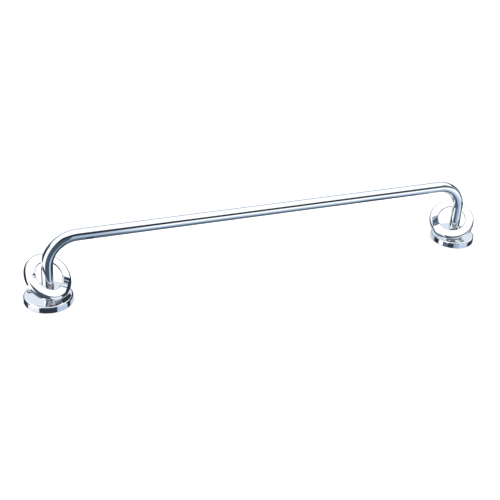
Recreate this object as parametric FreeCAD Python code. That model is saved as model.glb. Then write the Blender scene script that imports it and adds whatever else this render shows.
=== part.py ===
import FreeCAD, Part
import math
import os

# A stainless grab rail: one bent tube on two round base flanges, with a loose
# cover ring threaded on each leg.
# Frame: +X along the rail, +Z out from the mounting plane (z = 0), origin
# midway between the two legs. The left foot is at -X and the right foot at +X.

# Driving dimensions, in millimetres and degrees.
FOOT_SPACING = 750.0          # between the two leg axes
RAIL_HEIGHT = 112.0           # rail axis above the mounting plane
TUBE_DIAMETER = 19.0
TUBE_WALL = 1.5
BEND_RADIUS = 50.0            # to the tube's centreline

BASE_DIAMETER = 78.0
BASE_THICKNESS = 11.0
BASE_TOP_ROUNDING = 2.5
BASE_BOTTOM_CHAMFER = 0.5
SOCKET_DEPTH = 3.0            # the leg's seat in the base flange

SCREW_COUNT = 3
SCREW_CIRCLE_DIAMETER = 60.0
SCREW_HOLE_DIAMETER = 5.5     # clearance for an M5 countersunk screw
SCREW_HEAD_DIAMETER = 11.0
FIRST_SCREW_ANGLE = -90.0     # measured from +X about +Z

WELD_LEG = 2.5
WELD_HOLLOW = 0.3             # how far the polished bead dips below its chord

SHEET = 1.0                   # cover ring's sheet thickness
COVER_RADIAL_GAP = 0.5        # between the seated cover ring's skirt and the base flange
COVER_TOP_GAP = 0.5           # between its face and the base flange's top
COVER_FLOOR_GAP = 3.0         # between its skirt and the mounting plane
COVER_HOLE_DIAMETER = 47.5
COVER_RIM_ROUNDING = 5.0      # outside radius of the bend from face to skirt
COVER_LIP_ROUNDING = 2.0      # outside radius of the bend from face to lip
COVER_LIP_DEPTH = 2.5

# How each loose cover ring lies at rest. The lean turns it down on one side,
# the heading is the way that low side faces (from -Y towards +X), the shift
# moves its centre off the leg's axis, and the clearance is the gap between its
# lowest edge and the base flange's top.
COVER_CLEARANCE = 0.4
FEET = {
    "left": {"side": -1, "lean": 41.5, "heading": 38.0, "shift": (3.6, -0.4)},
    "right": {"side": 1, "lean": 35.2, "heading": -33.5, "shift": (-7.4, 0.4)},
}

# Sizes worked out from them.
TUBE_RADIUS = TUBE_DIAMETER / 2
BASE_RADIUS = BASE_DIAMETER / 2
LEG_END = BASE_THICKNESS - SOCKET_DEPTH
LEG_TOP = RAIL_HEIGHT - BEND_RADIUS
COVER_RADIUS = BASE_RADIUS + COVER_RADIAL_GAP + SHEET
COVER_HOLE_RADIUS = COVER_HOLE_DIAMETER / 2
COVER_HEIGHT = BASE_THICKNESS + COVER_TOP_GAP + SHEET - COVER_FLOOR_GAP

UP = FreeCAD.Vector(0, 0, 1)


def foot_x(foot):
    """X of a foot's leg axis."""
    return foot["side"] * FOOT_SPACING / 2


def arc_between(start, end, centre):
    """The shorter arc from start to end about centre."""
    radius = (start - centre).Length
    towards_middle = (start + end) * 0.5 - centre
    middle = centre + towards_middle.normalize() * radius
    return Part.Arc(start, middle, end).toShape()


def profile_point(radius, height):
    """A point of a turned profile, in the XZ plane."""
    return FreeCAD.Vector(radius, 0, height)


def turned(edges):
    """The solid that a closed profile sweeps in a full turn about Z."""
    face = Part.Face(Part.Wire(edges))
    return face.revolve(FreeCAD.Vector(0, 0, 0), UP, 360)


def line(start, end):
    """A straight edge."""
    return Part.LineSegment(start, end).toShape()


def rail_path():
    """Centreline of the tube: up one leg, along the rail and down the other leg."""
    half = FOOT_SPACING / 2
    corner = half - BEND_RADIUS
    left_end = FreeCAD.Vector(-half, 0, LEG_END)
    left_bend_start = FreeCAD.Vector(-half, 0, LEG_TOP)
    left_bend_end = FreeCAD.Vector(-corner, 0, RAIL_HEIGHT)
    right_bend_start = FreeCAD.Vector(corner, 0, RAIL_HEIGHT)
    right_bend_end = FreeCAD.Vector(half, 0, LEG_TOP)
    right_end = FreeCAD.Vector(half, 0, LEG_END)
    left_centre = FreeCAD.Vector(-corner, 0, LEG_TOP)
    right_centre = FreeCAD.Vector(corner, 0, LEG_TOP)
    return Part.Wire([
        line(left_end, left_bend_start),
        arc_between(left_bend_start, left_bend_end, left_centre),
        line(left_bend_end, right_bend_start),
        arc_between(right_bend_start, right_bend_end, right_centre),
        line(right_bend_end, right_end),
    ])


def rod_along(path, radius):
    """A solid round rod of one radius along the rail's centreline."""
    start = path.OrderedVertexes[0].Point
    section = Part.Wire(Part.Circle(start, UP, radius).toShape())
    return path.makePipeShell([section], True, True)


def rail_tube():
    """The bent tube, open at both ends."""
    path = rail_path()
    outside = rod_along(path, TUBE_RADIUS)
    inside = rod_along(path, TUBE_RADIUS - TUBE_WALL)
    return outside.cut(inside)


def screw_hole():
    """Cutter for one countersunk through hole, on the Z axis."""
    hole_radius = SCREW_HOLE_DIAMETER / 2
    head_radius = SCREW_HEAD_DIAMETER / 2
    sink_depth = head_radius - hole_radius
    shank = Part.makeCylinder(hole_radius, BASE_THICKNESS)
    sink_start = FreeCAD.Vector(0, 0, BASE_THICKNESS - sink_depth)
    sink = Part.makeCone(hole_radius, head_radius, sink_depth, sink_start, UP)
    return shank.fuse(sink)


def base_flange():
    """The thick round base, with the leg's socket and the screw holes, on the Z axis."""
    centre_bottom = profile_point(0, 0)
    chamfer_start = profile_point(BASE_RADIUS - BASE_BOTTOM_CHAMFER, 0)
    chamfer_end = profile_point(BASE_RADIUS, BASE_BOTTOM_CHAMFER)
    rounding_start = profile_point(BASE_RADIUS, BASE_THICKNESS - BASE_TOP_ROUNDING)
    rounding_end = profile_point(BASE_RADIUS - BASE_TOP_ROUNDING, BASE_THICKNESS)
    rounding_centre = profile_point(BASE_RADIUS - BASE_TOP_ROUNDING,
                                    BASE_THICKNESS - BASE_TOP_ROUNDING)
    centre_top = profile_point(0, BASE_THICKNESS)
    flange = turned([
        line(centre_bottom, chamfer_start),
        line(chamfer_start, chamfer_end),
        line(chamfer_end, rounding_start),
        arc_between(rounding_start, rounding_end, rounding_centre),
        line(rounding_end, centre_top),
        line(centre_top, centre_bottom),
    ])
    socket_floor = FreeCAD.Vector(0, 0, LEG_END)
    flange = flange.cut(Part.makeCylinder(TUBE_RADIUS, SOCKET_DEPTH, socket_floor))
    for index in range(SCREW_COUNT):
        angle = math.radians(FIRST_SCREW_ANGLE + index * 360 / SCREW_COUNT)
        cutter = screw_hole()
        cutter.translate(FreeCAD.Vector(math.cos(angle), math.sin(angle), 0)
                         * (SCREW_CIRCLE_DIAMETER / 2))
        flange = flange.cut(cutter)
    return flange


def weld_bead():
    """The polished fillet weld round the leg's foot, on the Z axis."""
    root = profile_point(TUBE_RADIUS, BASE_THICKNESS)
    flange_toe = profile_point(TUBE_RADIUS + WELD_LEG, BASE_THICKNESS)
    leg_toe = profile_point(TUBE_RADIUS, BASE_THICKNESS + WELD_LEG)
    to_root = (root - (flange_toe + leg_toe) * 0.5).normalize()
    middle = (flange_toe + leg_toe) * 0.5 + to_root * WELD_HOLLOW
    return turned([
        line(root, flange_toe),
        Part.Arc(flange_toe, middle, leg_toe).toShape(),
        line(leg_toe, root),
    ])


def cover_ring():
    """The pressed cover ring, on the Z axis, with its face's top at z = 0."""
    hole_inside = COVER_HOLE_RADIUS
    hole_outside = COVER_HOLE_RADIUS + SHEET
    skirt_outside = COVER_RADIUS
    skirt_inside = COVER_RADIUS - SHEET
    lip_bend_centre = profile_point(hole_inside + COVER_LIP_ROUNDING, -COVER_LIP_ROUNDING)
    rim_bend_centre = profile_point(skirt_outside - COVER_RIM_ROUNDING, -COVER_RIM_ROUNDING)
    lip_bottom = profile_point(hole_inside, -COVER_LIP_DEPTH)
    lip_bend_low = profile_point(hole_inside, -COVER_LIP_ROUNDING)
    face_inner = profile_point(lip_bend_centre.x, 0)
    face_outer = profile_point(rim_bend_centre.x, 0)
    rim_bend_low = profile_point(skirt_outside, -COVER_RIM_ROUNDING)
    skirt_bottom = profile_point(skirt_outside, -COVER_HEIGHT)
    skirt_bottom_back = profile_point(skirt_inside, -COVER_HEIGHT)
    rim_bend_low_back = profile_point(skirt_inside, -COVER_RIM_ROUNDING)
    face_outer_back = profile_point(rim_bend_centre.x, -SHEET)
    face_inner_back = profile_point(lip_bend_centre.x, -SHEET)
    lip_bend_low_back = profile_point(hole_outside, -COVER_LIP_ROUNDING)
    lip_bottom_back = profile_point(hole_outside, -COVER_LIP_DEPTH)
    return turned([
        line(lip_bottom, lip_bend_low),
        arc_between(lip_bend_low, face_inner, lip_bend_centre),
        line(face_inner, face_outer),
        arc_between(face_outer, rim_bend_low, rim_bend_centre),
        line(rim_bend_low, skirt_bottom),
        line(skirt_bottom, skirt_bottom_back),
        line(skirt_bottom_back, rim_bend_low_back),
        arc_between(rim_bend_low_back, face_outer_back, rim_bend_centre),
        line(face_outer_back, face_inner_back),
        arc_between(face_inner_back, lip_bend_low_back, lip_bend_centre),
        line(lip_bend_low_back, lip_bottom_back),
        line(lip_bottom_back, lip_bottom),
    ])


def on_foot(shape, foot):
    """Move a shape made on the Z axis to a foot's leg axis."""
    shape.translate(FreeCAD.Vector(foot_x(foot), 0, 0))
    return shape


def leaning_cover_ring(foot):
    """The cover ring as it lies loose on a foot's leg."""
    lean = math.radians(foot["lean"])
    centre_height = (BASE_THICKNESS + COVER_CLEARANCE
                     + COVER_RADIUS * math.sin(lean) + COVER_HEIGHT * math.cos(lean))
    lean_over = FreeCAD.Rotation(FreeCAD.Vector(1, 0, 0), foot["lean"])
    face_heading = FreeCAD.Rotation(UP, foot["heading"])
    shift_x, shift_y = foot["shift"]
    centre = FreeCAD.Vector(foot_x(foot) + shift_x, shift_y, centre_height)
    ring = cover_ring()
    ring.Placement = FreeCAD.Placement(centre, face_heading.multiply(lean_over))
    return ring


def assembly():
    """Every node of the grab rail and its shape."""
    shapes = {"rail_tube": rail_tube()}
    for name, foot in FEET.items():
        shapes[name + "_base_flange"] = on_foot(base_flange(), foot)
        shapes[name + "_weld_bead"] = on_foot(weld_bead(), foot)
        shapes[name + "_cover_ring"] = leaning_cover_ring(foot)
    return shapes


def main():
    os.makedirs("parts", exist_ok=True)
    for node, shape in assembly().items():
        shape.exportStep("parts/" + node + ".step")
        size = shape.BoundBox
        print(node, "valid", shape.isValid(), "solids", len(shape.Solids),
              "volume mm3", round(shape.Volume, 1),
              "size mm", round(size.XLength, 1), round(size.YLength, 1), round(size.ZLength, 1))


main()
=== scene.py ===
import bpy
import math
from mathutils import Matrix, Vector


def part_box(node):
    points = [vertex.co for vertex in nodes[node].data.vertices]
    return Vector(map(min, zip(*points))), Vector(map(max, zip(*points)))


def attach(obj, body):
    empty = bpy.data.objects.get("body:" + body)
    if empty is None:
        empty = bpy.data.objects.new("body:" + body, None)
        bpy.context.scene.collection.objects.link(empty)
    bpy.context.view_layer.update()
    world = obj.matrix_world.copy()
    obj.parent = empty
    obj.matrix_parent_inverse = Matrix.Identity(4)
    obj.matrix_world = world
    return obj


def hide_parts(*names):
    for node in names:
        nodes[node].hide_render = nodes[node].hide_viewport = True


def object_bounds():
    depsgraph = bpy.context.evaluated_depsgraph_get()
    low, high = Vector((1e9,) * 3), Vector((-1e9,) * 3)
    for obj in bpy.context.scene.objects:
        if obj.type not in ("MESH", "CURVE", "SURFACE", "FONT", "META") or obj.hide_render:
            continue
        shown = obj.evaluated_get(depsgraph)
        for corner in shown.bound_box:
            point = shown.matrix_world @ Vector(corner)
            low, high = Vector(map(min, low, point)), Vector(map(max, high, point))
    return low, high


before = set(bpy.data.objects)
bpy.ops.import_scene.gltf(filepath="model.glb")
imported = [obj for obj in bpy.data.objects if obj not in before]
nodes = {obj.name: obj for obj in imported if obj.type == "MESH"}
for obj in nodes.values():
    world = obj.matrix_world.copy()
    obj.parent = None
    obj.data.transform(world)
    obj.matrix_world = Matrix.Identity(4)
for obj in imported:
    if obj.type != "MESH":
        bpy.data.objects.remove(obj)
cad_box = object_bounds()

SIDES = ("left", "right")

# Camera: lens in millimetres, places in the frame's metres, angles in degrees.
CAMERA_AZIMUTH = -23.7        # 0 looks along +Y, negative from the left foot's side
CAMERA_ELEVATION = 30.4
CAMERA_ROLL = 4.2
CAMERA_LENS_MM = 68.4
CAMERA_SENSOR_MM = 36.0
CAMERA_DISTANCE = 1.569
CAMERA_AIM = Vector((-0.0471, -0.0336, 0.0595))
CAMERA_CLIP_END = 50.0

# The object's sizes that its nodes' boxes don't give, as in the CAD model, in metres and degrees.
TUBE_WALL = 0.0015
BEND_RADIUS = 0.050
FLANGE_ROUNDING = 0.0025
WELD_LEG = 0.0025
WELD_HOLLOW = 0.0003
SCREW_CIRCLE_RADIUS = 0.030
SCREW_HEAD_RADIUS = 0.0055
SCREW_ANGLES = (-90.0, 30.0, 150.0)
SHEET = 0.001
COVER_RADIUS = 0.0405
COVER_HEIGHT = 0.0095
COVER_HOLE_RADIUS = 0.02375
COVER_RIM_ROUNDING = 0.005
COVER_LIP_ROUNDING = 0.002
COVER_LIP_DEPTH = 0.0025
COVER_CLEARANCE = 0.0004
COVER_POSES = {
    "left": {"lean": 41.5, "heading": 38.0, "shift": (0.0036, -0.0004)},
    "right": {"lean": 35.2, "heading": -33.5, "shift": (-0.0074, 0.0004)},
}

# Fine shape that only the visual model has.
EDGE_ROUNDING = 0.0002        # worn edges of the sheet and the tube's ends
BEND_SWELL = 0.00012          # inside each bend, where the bender let go of the tube
BEND_SWELL_LENGTH = 0.007
BEND_SWELL_REACH = 3          # lengths after which the swelling has died out
WELD_RIPPLE = 0.00003
WELD_RIPPLE_COUNT = 30
WELD_TOE_ROUNDING = 0.00005
WELD_FACE_RADIUS = 0.004
ROUND_STEPS = 8               # faces round a corner of an outline
RING_STEPS = 192              # faces round each piece
WELD_STEPS = 240
TUBE_STEPS = 96
BEND_STEPS = 48               # faces along a bend

# Steel: linear colours, marks to a metre for the scales, and metres for the depths.
POLISHED = (0.88, 0.89, 0.91)
WELD_STEEL = (0.80, 0.81, 0.83)
LINE_ACROSS = 4000.0
LINE_ALONG = 40.0
LINE_DEPTH = 2e-7
SMUDGE_SCALE = 35.0
SMUDGE_DETAIL = 4.0
SMUDGE_SPREAD = (0.50, 0.72)  # noise below the first leaves no smudge, above the second a whole one
HAIRLINE_SCALE = 60.0
HAIRLINE_DETAIL = 0.0
HAIRLINE_WIDTH = 0.004        # in steps of noise
HAIRLINE_DEPTH = 1e-6
HAIRLINE_PATCH_SCALE = 25.0
HAIRLINE_SPREAD = (0.50, 0.62)
NOISE_MIDDLE = 0.5
WAVE_SCALE = 40.0
WAVE_DETAIL = 1.0
WAVE_HEIGHT = 3e-5
SATIN_SCALE = 1500.0
SATIN_DEPTH = 1e-5
SATIN_LEAST = 0.85            # how dull the least dull grain of a satin place is
SATIN_GRAIN = 0.3             # how much duller the rest gets

# What a mark adds to the roughness, and how much of the colour's shading it brings.
LINE_MARK = (0.025, 0.05)
SMUDGE_MARK = (0.035, 0.05)
HAIRLINE_MARK = (0.10, 0.06)
WEAR_MARK = (0.07, 0.05)
SATIN_MARK = (0.33, 0.45)
MIRROR_ROUGHNESS = 0.01
SHADED = 0.5                  # the share of its colour that wholly shaded steel keeps
RIM_WEAR = 0.2                # a cover's rim against its edge
COVER_WORN_RIM = COVER_RIM_ROUNDING / 2
FLANGE_DULL_HEIGHT = FLANGE_ROUNDING / 4  # how far up its side the dull underside reaches
WELD_WEAR = 0.4
WELD_SATIN = 0.12

# Studio: metres and degrees. Azimuth is 0 towards -Y and grows towards +X.
FLOOR_SIZE = 12.0
FLOOR_DROP = 0.0002
FLOOR_COLOUR = (0.95, 0.95, 0.95, 1.0)
FLOOR_ROUGHNESS = 0.9

# Sides of the studio, as lowest and highest azimuth and half the width of their soft edges.
FRONT_SIDE = (-50.0, 72.0, 8.0)
WHITE_SIDE = (-127.0, -45.0, 5.0)
DARK_CORNERS = (98.0, 136.0, 6.0)  # on the left and on the right, behind the feet

# Gradients, from where one starts to where it is complete.
TENT_BACK_AZIMUTHS = (95.0, 140.0)
TENT_BACK_ELEVATIONS = (55.0, 30.0)
PAPER_BLUE_ELEVATIONS = (-5.0, -36.0)
PAPER_MID_AZIMUTHS = (16.0, 11.0)
PAPER_SLATE_AZIMUTHS = (8.0, -35.0)
PAPER_END_ELEVATIONS = (-42.0, -54.0)
WHITE_SIDE_END_ELEVATIONS = (-32.5, -37.0)
FRONT_GAP_SLATE_AZIMUTHS = (28.0, 50.0)
FRONT_GAP_HIGH_AZIMUTHS = (14.0, 27.0)

# Elevations where the paper ends and the room shows, and where the tent's cloth starts.
GAP_LOW = -25.0
GAP_HIGH = 24.0
FRONT_GAP_LOW = 7.0
FRONT_GAP_HIGHS = (49.0, 41.0)  # left and right of its gradient
GAP_EDGE = 2.0

# Radiance as linear colour.
BACKDROP_WHITE = (1.60, 1.60, 1.60)
TENT_WHITE = (1.30, 1.31, 1.33)
TENT_BACK = (0.82, 0.90, 1.00)
PAPER_WHITE = (1.25, 1.28, 1.32)
PAPER_BACK = (0.62, 0.70, 0.80)
PAPER_BLUE = (0.50, 0.64, 0.82)
PAPER_MID = (0.42, 0.55, 0.69)
PAPER_SLATE = (0.16, 0.25, 0.36)
ROOM_BLUE = (0.34, 0.42, 0.51)
ROOM_SLATE = (0.11, 0.155, 0.21)
ROOM_DARK = (0.030, 0.042, 0.062)
CARD_SLATE = (0.070, 0.098, 0.135)

# Upright cards that shape the steel's reflections: the two ends, the heights of the edges, the colour,
# and how much of the length fades out towards the second end. A card with both ends at one x doesn't
# fade.
CARDS = {
    "left_front_low": ((-0.505, -0.105), (-0.330, -0.105), (-0.20, -0.032), ROOM_DARK, 0.05),
    "left_front_high": ((-0.330, -0.105), (-0.505, -0.105), (-0.032, 0.14), CARD_SLATE, 0.55),
    "right_front": ((0.26, -0.11), (0.335, -0.11), (-0.12, -0.02), ROOM_DARK, 0.10),
    "front_low": ((-0.60, -0.235), (-0.03, -0.64), (-0.80, -0.30), ROOM_SLATE, 0.12),
    "front_high": ((-0.60, -0.235), (-0.24, -0.48), (-0.30, -0.05), ROOM_DARK, 0.12),
    "right_flag": ((0.55, -0.12), (0.56, 0.30), (-0.80, 0.02), ROOM_DARK, 0.05),
    "back_flag": ((-0.948, 0.30), (-0.456, 0.972), (-1.60, 0.10), ROOM_DARK, 0.05),
    "near_flag": ((-0.322, -0.035), (-0.322, 0.045), (0.012, 0.0448), ROOM_DARK, 0.05),
    "middle_flag": ((-0.29, -0.05), (-0.29, 0.20), (-0.022, 0.05), ROOM_DARK, 0.05),
}


def camera_axes():
    """Right, up and back of the camera, which looks down at the object."""
    azimuth = math.radians(CAMERA_AZIMUTH)
    elevation = math.radians(CAMERA_ELEVATION)
    roll = math.radians(CAMERA_ROLL)
    level_back = Vector((math.sin(azimuth), -math.cos(azimuth), 0))
    back = level_back * math.cos(elevation) + Vector((0, 0, math.sin(elevation)))
    level_right = Vector((math.cos(azimuth), math.sin(azimuth), 0))
    level_up = back.cross(level_right)
    right = level_right * math.cos(roll) + level_up * math.sin(roll)
    up = level_up * math.cos(roll) - level_right * math.sin(roll)
    return right, up, back


def add_camera():
    """The camera, at the side and height that the object is shown from."""
    right, up, back = camera_axes()
    data = bpy.data.cameras.new("camera")
    data.lens = CAMERA_LENS_MM
    data.sensor_width = CAMERA_SENSOR_MM
    data.clip_end = CAMERA_CLIP_END
    camera = bpy.data.objects.new("camera", data)
    turn = Matrix((right, up, back)).transposed().to_4x4()
    camera.matrix_world = Matrix.Translation(CAMERA_AIM + back * CAMERA_DISTANCE) @ turn
    bpy.context.scene.collection.objects.link(camera)
    bpy.context.scene.camera = camera


class Graph:
    """A node tree being built, with short calls for the nodes used here."""

    def __init__(self, tree):
        self.tree = tree
        tree.nodes.clear()

    def node(self, kind, **settings):
        made = self.tree.nodes.new(kind)
        for name, value in settings.items():
            setattr(made, name, value)
        return made

    def feed(self, socket, value):
        """Links an output, or sets a plain value, on an input socket."""
        if isinstance(value, bpy.types.NodeSocket):
            self.tree.links.new(value, socket)
        elif isinstance(value, (tuple, list)) and len(value) == 3 and socket.type == "RGBA":
            socket.default_value = (*value, 1.0)
        else:
            socket.default_value = value

    def math(self, operation, *inputs):
        made = self.node("ShaderNodeMath", operation=operation)
        for socket, value in zip(made.inputs, inputs):
            self.feed(socket, value)
        return made.outputs[0]

    def step(self, value, low, high, start=0.0, end=1.0):
        """Smoothly from start at low to end at high."""
        made = self.node("ShaderNodeMapRange", interpolation_type="SMOOTHSTEP")
        for name, given in (("Value", value), ("From Min", low), ("From Max", high),
                            ("To Min", start), ("To Max", end)):
            self.feed(made.inputs[name], given)
        return made.outputs["Result"]

    def band(self, value, low, high, edge):
        """1 between low and high, with smooth edges."""
        rise = self.step(value, low - edge, low + edge)
        fall = self.step(value, high - edge, high + edge, 1.0, 0.0)
        return self.math("MULTIPLY", rise, fall)

    def vector(self, operation, *inputs, result=0):
        made = self.node("ShaderNodeVectorMath", operation=operation)
        for socket, value in zip(made.inputs, inputs):
            self.feed(socket, value)
        return made.outputs[result]

    def noise(self, position, scale, detail=2.0):
        """Noise about 0.5 of a position in metres, with features of 1 / scale metres."""
        made = self.node("ShaderNodeTexNoise")
        self.feed(made.inputs["Vector"], position)
        made.inputs["Scale"].default_value = scale
        made.inputs["Detail"].default_value = detail
        return made.outputs[0]

    def total(self, *terms):
        """The sum of pairs of a value and its weight."""
        result = 0.0
        for value, weight in terms:
            result = self.math("MULTIPLY_ADD", value, weight, result)
        return result

    def mix(self, factor, first, second):
        made = self.node("ShaderNodeMix", data_type="RGBA")
        self.feed(made.inputs["Factor"], factor)
        colours = [socket for socket in made.inputs if socket.type == "RGBA"]
        self.feed(colours[0], first)
        self.feed(colours[1], second)
        return next(socket for socket in made.outputs if socket.type == "RGBA")


def new_material(name):
    """An empty node material and its graph."""
    material = bpy.data.materials.new(name)
    material.use_nodes = True
    return material, Graph(material.node_tree)


def seen_direction(graph):
    """Azimuth and elevation of the part of the world that a ray meets, in degrees."""
    split = graph.node("ShaderNodeSeparateXYZ")
    graph.feed(split.inputs[0], graph.node("ShaderNodeTexCoord").outputs["Generated"])
    x, y, z = split.outputs
    azimuth = graph.math("DEGREES", graph.math("ARCTAN2", x, graph.math("MULTIPLY", y, -1.0)))
    elevation = graph.math("DEGREES", graph.math("ARCSINE", z))
    return azimuth, elevation


def tent_colour(graph, azimuth, elevation):
    """The white cloth overhead, a little shaded low down behind the object."""
    behind = graph.step(graph.math("ABSOLUTE", azimuth), *TENT_BACK_AZIMUTHS)
    low_down = graph.step(elevation, *TENT_BACK_ELEVATIONS)
    return graph.mix(graph.math("MULTIPLY", behind, low_down), TENT_WHITE, TENT_BACK)


def paper_colour(graph, azimuth, elevation, front, white_side):
    """The paper that the object stands on, bluer in front and gone straight below."""
    blue = graph.mix(graph.step(elevation, *PAPER_BLUE_ELEVATIONS), PAPER_WHITE, PAPER_BLUE)
    blue = graph.mix(graph.step(azimuth, *PAPER_MID_AZIMUTHS), blue, PAPER_MID)
    blue = graph.mix(graph.step(azimuth, *PAPER_SLATE_AZIMUTHS), blue, PAPER_SLATE)
    paper = graph.mix(white_side, PAPER_BACK, PAPER_WHITE)
    paper = graph.mix(front, paper, blue)
    paper = graph.mix(graph.step(elevation, *PAPER_END_ELEVATIONS), paper, ROOM_SLATE)
    side_end = graph.math("MULTIPLY", white_side, graph.step(elevation, *WHITE_SIDE_END_ELEVATIONS))
    return graph.mix(side_end, paper, ROOM_SLATE)


def gap_colour(graph, azimuth, front, white_side):
    """The room seen between paper and tent, but for the white sheet on the left."""
    front_gap = graph.mix(graph.step(azimuth, *FRONT_GAP_SLATE_AZIMUTHS), ROOM_DARK, ROOM_SLATE)
    gap = graph.mix(white_side, graph.mix(front, ROOM_BLUE, front_gap), PAPER_WHITE)
    corners = graph.band(graph.math("ABSOLUTE", azimuth), *DARK_CORNERS)
    return graph.mix(corners, gap, ROOM_DARK)


def show_mirrored(graph, colour):
    """Shows this colour to reflections, and plain white to the camera and to the floor."""
    mirrored = graph.node("ShaderNodeBackground")
    graph.feed(mirrored.inputs["Color"], colour)
    plain = graph.node("ShaderNodeBackground")
    graph.feed(plain.inputs["Color"], BACKDROP_WHITE)
    choose = graph.node("ShaderNodeMixShader")
    graph.feed(choose.inputs["Fac"], graph.node("ShaderNodeLightPath").outputs["Is Glossy Ray"])
    graph.feed(choose.inputs[1], plain.outputs[0])
    graph.feed(choose.inputs[2], mirrored.outputs[0])
    out = graph.node("ShaderNodeOutputWorld")
    graph.feed(out.inputs["Surface"], choose.outputs[0])


def add_studio():
    """A tent over white paper, open to a dark room round the horizon, as the steel mirrors it."""
    world = bpy.data.worlds.new("studio")
    bpy.context.scene.world = world
    world.use_nodes = True
    graph = Graph(world.node_tree)
    azimuth, elevation = seen_direction(graph)
    front = graph.band(azimuth, *FRONT_SIDE)
    white_side = graph.band(azimuth, *WHITE_SIDE)
    paper = paper_colour(graph, azimuth, elevation, front, white_side)
    gap = gap_colour(graph, azimuth, front, white_side)
    front_high = graph.step(azimuth, *FRONT_GAP_HIGH_AZIMUTHS, *FRONT_GAP_HIGHS)
    gap_low = graph.step(front, 0.0, 1.0, GAP_LOW, FRONT_GAP_LOW)
    gap_high = graph.step(front, 0.0, 1.0, GAP_HIGH, front_high)
    under = graph.step(graph.math("SUBTRACT", elevation, gap_low), GAP_EDGE, -GAP_EDGE)
    over = graph.step(graph.math("SUBTRACT", elevation, gap_high), -GAP_EDGE, GAP_EDGE)
    tent = tent_colour(graph, azimuth, elevation)
    show_mirrored(graph, graph.mix(over, graph.mix(under, gap, paper), tent))


def card_material(name, colour, faded, leftward):
    """A plain glow that fades out over the last part of a card, at its left end if leftward."""
    material, graph = new_material(name)
    split = graph.node("ShaderNodeSeparateXYZ")
    graph.feed(split.inputs[0], graph.node("ShaderNodeTexCoord").outputs["Generated"])
    along = split.outputs["X"]
    if leftward:
        along = graph.math("SUBTRACT", 1.0, along)
    glow = graph.node("ShaderNodeEmission")
    graph.feed(glow.inputs["Color"], colour)
    mixed = graph.node("ShaderNodeMixShader")
    graph.feed(mixed.inputs["Fac"], graph.step(along, 1.0 - faded, 1.0))
    graph.feed(mixed.inputs[1], glow.outputs[0])
    graph.feed(mixed.inputs[2], graph.node("ShaderNodeBsdfTransparent").outputs[0])
    graph.feed(graph.node("ShaderNodeOutputMaterial").inputs["Surface"], mixed.outputs[0])
    return material


def add_card(name, start, end, heights, colour, faded):
    """An upright card that only the steel's reflections see."""
    low, high = heights
    corners = [(*start, low), (*end, low), (*end, high), (*start, high)]
    mesh = bpy.data.meshes.new(name)
    mesh.from_pydata(corners, [], [(0, 1, 2, 3)])
    mesh.materials.append(card_material(name, colour, faded, start[0] > end[0]))
    card = bpy.data.objects.new(name, mesh)
    card.visible_camera = False
    card.visible_diffuse = False
    card.visible_shadow = False
    bpy.context.scene.collection.objects.link(card)


def add_floor():
    """A plain pale floor just under the base flanges."""
    half = FLOOR_SIZE / 2
    mesh = bpy.data.meshes.new("floor")
    corners = [(-half, -half, 0), (half, -half, 0), (half, half, 0), (-half, half, 0)]
    mesh.from_pydata(corners, [], [(0, 1, 2, 3)])
    floor = bpy.data.objects.new("floor", mesh)
    floor.location.z = cad_box[0].z - FLOOR_DROP
    floor.visible_glossy = False
    bpy.context.scene.collection.objects.link(floor)
    material = bpy.data.materials.new("floor_white")
    material.use_nodes = True
    shader = material.node_tree.nodes["Principled BSDF"]
    shader.inputs["Base Color"].default_value = FLOOR_COLOUR
    shader.inputs["Roughness"].default_value = FLOOR_ROUGHNESS
    shader.inputs["Specular IOR Level"].default_value = 0.0
    mesh.materials.append(material)


def rounded_outline(corners):
    """Points, outward normals and flags round a closed clockwise outline, with its corners rounded.

    Each corner is (x, y, rounding radius, flag), and its points keep its flag."""
    outline = []
    for index, (x, y, rounding, flag) in enumerate(corners):
        corner = Vector((x, y))
        incoming = (corner - Vector(corners[index - 1][:2])).normalized()
        outgoing = (Vector(corners[(index + 1) % len(corners)][:2]) - corner).normalized()
        turn = -incoming.angle_signed(outgoing)
        bulge = 1 if turn < 0 else -1
        start_normal = Vector((-incoming.y, incoming.x))
        start = corner - incoming * rounding * math.tan(abs(turn) / 2)
        centre = start - start_normal * rounding * bulge
        for step in range(ROUND_STEPS + 1):
            normal = Matrix.Rotation(turn * step / ROUND_STEPS, 2) @ start_normal
            outline.append((centre + normal * rounding * bulge, normal, flag))
    return outline


def divided(outline, heights):
    """The outline with a point added wherever a run crosses one of these heights."""
    made = []
    for index, (point, normal, flag) in enumerate(outline):
        following = outline[(index + 1) % len(outline)][0]
        made.append((point, normal, flag))
        low, high = sorted((point.y, following.y))
        crossed = [height for height in heights if low < height < high]
        for height in sorted(crossed, reverse=following.y < point.y):
            share = (height - point.y) / (following.y - point.y)
            made.append((point.lerp(following, share), normal, flag))
    return made


def straight_axis(height):
    """The placing of a turned shape's slice at this height on a straight Z axis."""
    return Matrix.Translation((0, 0, height))


def turned_faces(rows, steps):
    """The faces between the rows of points that a closed outline makes when it is turned."""
    faces = []
    for row in range(rows):
        this = row * steps
        other = (row + 1) % rows * steps
        for step in range(steps):
            beside = (step + 1) % steps
            faces.append((this + step, other + step, other + beside, this + beside))
    return faces


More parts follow.
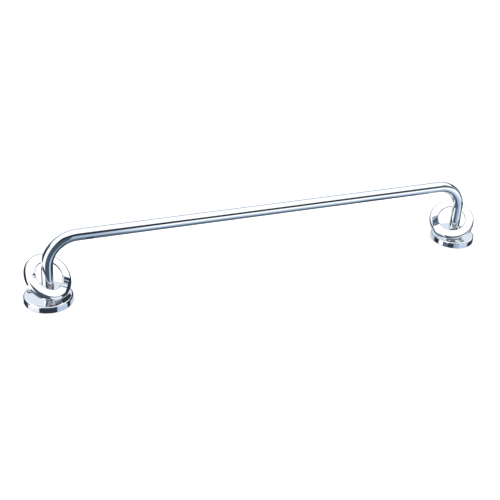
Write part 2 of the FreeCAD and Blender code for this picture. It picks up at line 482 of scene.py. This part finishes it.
def turned_piece(name, outline, steps, axis=straight_axis, swell=None):
    """A closed smooth mesh that turns an outline of radii and heights about an axis.

    For the materials, the mesh keeps each point's place about a straight axis, and its flag. A swell
    adds to the radius at an angle and height, and then the mesh's own normals show it."""
    places = []
    normals = []
    straight = []
    flags = []
    for point, normal, flag in outline:
        slice_place = axis(point.y)
        for step in range(steps):
            angle = 2 * math.pi * step / steps
            across = Vector((math.cos(angle), math.sin(angle), 0))
            radius = point.x
            if swell:
                radius += swell(angle, point.y)
            places.append(slice_place @ (across * radius))
            normals.append(slice_place.to_3x3() @ (across * normal.x + Vector((0, 0, normal.y))))
            straight.append((*(across * radius).xy, point.y))
            flags.append(float(flag))
    mesh = bpy.data.meshes.new(name)
    mesh.from_pydata(places, [], turned_faces(len(outline), steps))
    mesh.shade_smooth()
    if not swell:
        mesh.normals_split_custom_set_from_vertices(normals)
    kept_place = mesh.attributes.new("straight", "FLOAT_VECTOR", "POINT")
    kept_place.data.foreach_set("vector", [number for place in straight for number in place])
    kept_flag = mesh.attributes.new("hidden_side", "FLOAT", "POINT")
    kept_flag.data.foreach_set("value", flags)
    piece = bpy.data.objects.new(name, mesh)
    bpy.context.scene.collection.objects.link(piece)
    return piece


def stand_for(piece, node, body, material):
    """Shows a piece in a CAD node's place."""
    piece.data.materials.append(material)
    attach(piece, body)
    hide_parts(node)


def bent_axis(start, runs, distance):
    """The placing of a slice this far along a path of runs.

    Each run is (length, bend radius), and a radius of 0 is straight."""
    place = start
    for length, radius in runs:
        part = min(max(distance, 0), length)
        distance -= part
        if radius:
            centre = Matrix.Translation((radius, 0, 0))
            place = place @ centre @ Matrix.Rotation(part / radius, 4, "Y") @ centre.inverted()
        else:
            place = place @ Matrix.Translation((0, 0, part))
    return place


def add_tube(material):
    """The bent tube, with smooth bends and a faint swelling inside each bend's two ends."""
    low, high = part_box("rail_tube")
    radius = high.y
    leg = high.z - radius - BEND_RADIUS - low.z
    bend = BEND_RADIUS * math.pi / 2
    rail = 2 * (high.x - radius - BEND_RADIUS)
    runs = ((leg, 0), (bend, BEND_RADIUS), (rail, 0), (bend, BEND_RADIUS), (leg, 0))
    start = Matrix.Translation((radius - high.x, 0, low.z))
    bend_starts = (leg, leg + bend + rail)
    bend_ends = (leg + bend, leg + 2 * bend + rail)

    def axis(distance):
        return bent_axis(start, runs, distance)

    def swell(angle, distance):
        nearest = min(abs(distance - end) for end in bend_starts + bend_ends)
        inside = max(math.cos(angle), 0)
        return BEND_SWELL * inside * math.exp(-(nearest / BEND_SWELL_LENGTH) ** 2)

    length = sum(run for run, _ in runs)
    corners = [
        (radius - TUBE_WALL, 0, EDGE_ROUNDING, True),
        (radius - TUBE_WALL, length, EDGE_ROUNDING, True),
        (radius, length, EDGE_ROUNDING, False),
        (radius, 0, EDGE_ROUNDING, False),
    ]
    margin = BEND_SWELL_REACH * BEND_SWELL_LENGTH
    span = bend + 2 * margin
    stations = [begin - margin + span * step / BEND_STEPS
                for begin in bend_starts for step in range(BEND_STEPS + 1)]
    outline = divided(rounded_outline(corners), stations)
    piece = turned_piece("bent_tube", outline, TUBE_STEPS, axis, swell)
    stand_for(piece, "rail_tube", "rail_assembly", material)


def add_weld(side, material):
    """The hollow fillet weld round a leg's foot, with its polished-down ripples."""
    low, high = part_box(side + "_weld_bead")
    _, flange_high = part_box(side + "_base_flange")
    toe = (high.x - low.x) / 2
    inner = toe - WELD_LEG
    dip = WELD_LEG / 2 - WELD_HOLLOW / math.sqrt(2)

    def ripple(angle, height):
        amount = 1 - abs(2 * height / WELD_LEG - 1)
        return WELD_RIPPLE * amount * math.cos(WELD_RIPPLE_COUNT * angle)

    outline = rounded_outline([
        (inner, 0, WELD_TOE_ROUNDING, False),
        (inner, WELD_LEG, WELD_TOE_ROUNDING, False),
        (inner + dip, dip, WELD_FACE_RADIUS, False),
        (toe, 0, WELD_TOE_ROUNDING, False),
    ])
    piece = turned_piece(side + "_weld_ring", outline, WELD_STEPS, swell=ripple)
    piece.location = ((low.x + high.x) / 2, 0, flange_high.z)
    stand_for(piece, side + "_weld_bead", "rail_assembly", material)


def add_cover(side, material):
    """The pressed cover ring, as it leans on its leg."""
    low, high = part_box(side + "_base_flange")
    pose = COVER_POSES[side]
    lean = math.radians(pose["lean"])
    shift_x, shift_y = pose["shift"]
    centre = Vector(((low.x + high.x) / 2 + shift_x, shift_y, high.z + COVER_CLEARANCE
                     + COVER_RADIUS * math.sin(lean) + COVER_HEIGHT * math.cos(lean)))
    heading = Matrix.Rotation(math.radians(pose["heading"]), 4, "Z")
    inner_rim = COVER_RIM_ROUNDING - SHEET
    inner_lip = COVER_LIP_ROUNDING - SHEET
    outline = rounded_outline([
        (COVER_HOLE_RADIUS, -COVER_LIP_DEPTH, EDGE_ROUNDING, False),
        (COVER_HOLE_RADIUS, 0, COVER_LIP_ROUNDING, False),
        (COVER_RADIUS, 0, COVER_RIM_ROUNDING, False),
        (COVER_RADIUS, -COVER_HEIGHT, EDGE_ROUNDING, False),
        (COVER_RADIUS - SHEET, -COVER_HEIGHT, EDGE_ROUNDING, True),
        (COVER_RADIUS - SHEET, -SHEET, inner_rim, True),
        (COVER_HOLE_RADIUS + SHEET, -SHEET, inner_lip, True),
        (COVER_HOLE_RADIUS + SHEET, -COVER_LIP_DEPTH, EDGE_ROUNDING, True),
    ])
    lying = Matrix.Translation(centre) @ heading @ Matrix.Rotation(lean, 4, "X")

    def axis(height):
        return lying @ straight_axis(height)

    piece = turned_piece(side + "_cover_shell", outline, RING_STEPS, axis)
    stand_for(piece, side + "_cover_ring", side + "_cover", material)


def local_place(graph):
    """A point's place on a piece before its axis was bent or leaned."""
    return graph.node("ShaderNodeAttribute", attribute_name="straight").outputs["Vector"]


def hidden_side(graph):
    """1 on the faces of a piece that are inside it, 0 on the others."""
    return graph.node("ShaderNodeAttribute", attribute_name="hidden_side").outputs["Fac"]


def turning_lines(graph, place):
    """Fine polishing lines round the Z axis, and the radius and height of the place."""
    split = graph.node("ShaderNodeSeparateXYZ")
    graph.feed(split.inputs[0], place)
    x, y, height = split.outputs
    radius = graph.math("SQRT", graph.math("MULTIPLY_ADD", x, x, graph.math("MULTIPLY", y, y)))
    across = graph.math("SUBTRACT", radius, height)
    joined = graph.node("ShaderNodeCombineXYZ")
    graph.feed(joined.inputs[0], graph.math("MULTIPLY", x, LINE_ALONG))
    graph.feed(joined.inputs[1], graph.math("MULTIPLY", y, LINE_ALONG))
    graph.feed(joined.inputs[2], graph.math("MULTIPLY", across, LINE_ACROSS))
    return graph.noise(joined.outputs[0], 1.0), radius, height


def hairlines(graph, place):
    """Thin scratches in patches, where a slow noise crosses its middle."""
    level = graph.noise(place, HAIRLINE_SCALE, HAIRLINE_DETAIL)
    crossed = graph.math("ABSOLUTE", graph.math("SUBTRACT", level, NOISE_MIDDLE))
    line = graph.step(crossed, 0.0, HAIRLINE_WIDTH, 1.0, 0.0)
    patch = graph.step(graph.noise(place, HAIRLINE_PATCH_SCALE), *HAIRLINE_SPREAD)
    return graph.math("MULTIPLY", line, patch)


def steel(graph, colour, place, lines, wear, satin):
    """Connects mirror-polished stainless steel: polishing lines, smudges, hairlines and faint waves.

    Worn places are a little duller, and satin places are left as they came from the press or drill."""
    smudge = graph.step(graph.noise(place, SMUDGE_SCALE, SMUDGE_DETAIL), *SMUDGE_SPREAD)
    hairline = hairlines(graph, place)
    grain = graph.noise(place, SATIN_SCALE)
    dull = graph.math("MULTIPLY", satin, graph.math("MULTIPLY_ADD", grain, SATIN_GRAIN, SATIN_LEAST))
    marks = ((lines, LINE_MARK), (smudge, SMUDGE_MARK), (hairline, HAIRLINE_MARK),
             (wear, WEAR_MARK), (dull, SATIN_MARK))
    roughness = graph.total(*[(mark, rough) for mark, (rough, _) in marks])
    shade = graph.total(*[(mark, dark) for mark, (_, dark) in marks])
    wave = graph.noise(place, WAVE_SCALE, WAVE_DETAIL)
    height = graph.total((lines, LINE_DEPTH), (wave, WAVE_HEIGHT), (hairline, -HAIRLINE_DEPTH),
                         (graph.math("MULTIPLY", grain, satin), SATIN_DEPTH))
    shaded = tuple(channel * SHADED for channel in colour)
    shader = graph.node("ShaderNodeBsdfPrincipled")
    shader.inputs["Metallic"].default_value = 1.0
    graph.feed(shader.inputs["Base Color"], graph.mix(shade, colour, shaded))
    graph.feed(shader.inputs["Roughness"], graph.math("ADD", roughness, MIRROR_ROUGHNESS))
    bump = graph.node("ShaderNodeBump")
    bump.inputs["Distance"].default_value = 1.0
    graph.feed(bump.inputs["Height"], height)
    graph.feed(shader.inputs["Normal"], bump.outputs[0])
    out = graph.node("ShaderNodeOutputMaterial")
    graph.feed(out.inputs["Surface"], shader.outputs[0])


def tube_steel():
    """The tube: polished along its length, dull inside its bore."""
    material, graph = new_material("rail_tube_mirror_steel")
    place = local_place(graph)
    along = graph.vector("MULTIPLY", place, (LINE_ACROSS, LINE_ACROSS, LINE_ALONG))
    lines = graph.noise(along, 1.0)
    satin = hidden_side(graph)
    steel(graph, POLISHED, place, lines, 0.0, satin)
    return material


def cover_steel():
    """A cover ring: turned polish outside, worn on its rim and edge, satin inside."""
    material, graph = new_material("cover_mirror_steel")
    place = local_place(graph)
    lines, radius, height = turning_lines(graph, place)
    rim = graph.step(radius, COVER_RADIUS - COVER_WORN_RIM, COVER_RADIUS)
    edge = graph.step(height, COVER_LIP_DEPTH - COVER_HEIGHT, -COVER_HEIGHT)
    wear = graph.math("MULTIPLY", rim, graph.math("MULTIPLY_ADD", edge, 1.0 - RIM_WEAR, RIM_WEAR))
    satin = hidden_side(graph)
    steel(graph, POLISHED, place, lines, wear, satin)
    return material


def flange_steel(side):
    """A base flange: turned polish, worn on its top edge, drilled countersinks left dull."""
    material, graph = new_material(side + "_flange_mirror_steel")
    low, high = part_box(side + "_base_flange")
    centre = Vector(((low.x + high.x) / 2, 0, low.z))
    here = graph.node("ShaderNodeTexCoord").outputs["Object"]
    place = graph.vector("SUBTRACT", here, tuple(centre))
    lines, radius, height = turning_lines(graph, place)
    flange_radius = (high.x - low.x) / 2
    thickness = high.z - low.z
    rim = graph.step(radius, flange_radius - FLANGE_ROUNDING, flange_radius)
    top = graph.step(height, thickness - FLANGE_ROUNDING, thickness)
    wear = graph.math("MULTIPLY", rim, top)
    satin = graph.step(height, 0.0, FLANGE_DULL_HEIGHT, 1.0, 0.0)
    for angle in SCREW_ANGLES:
        turned = math.radians(angle)
        axis = Vector((math.cos(turned), math.sin(turned), 0)) * SCREW_CIRCLE_RADIUS
        flat = graph.vector("MULTIPLY", graph.vector("SUBTRACT", place, tuple(axis)), (1, 1, 0))
        away = graph.vector("LENGTH", flat, result=1)
        hole = graph.step(away, SCREW_HEAD_RADIUS - EDGE_ROUNDING, SCREW_HEAD_RADIUS, 1.0, 0.0)
        satin = graph.math("MAXIMUM", satin, hole)
    steel(graph, POLISHED, place, lines, wear, satin)
    return material


def weld_steel():
    """The weld: brushed smooth over its ripples, satin rather than mirror."""
    material, graph = new_material("weld_polished_steel")
    place = local_place(graph)
    lines, _, _ = turning_lines(graph, place)
    steel(graph, WELD_STEEL, place, lines, WELD_WEAR, WELD_SATIN)
    return material


for side in SIDES:
    nodes[side + "_base_flange"].data.materials[0] = flange_steel(side)
add_tube(tube_steel())
weld = weld_steel()
cover = cover_steel()
for side in SIDES:
    add_weld(side, weld)
    add_cover(side, cover)
add_floor()
add_studio()
for name, settings in CARDS.items():
    add_card(name, *settings)
add_camera()
bpy.context.scene.view_settings.view_transform = "Standard"
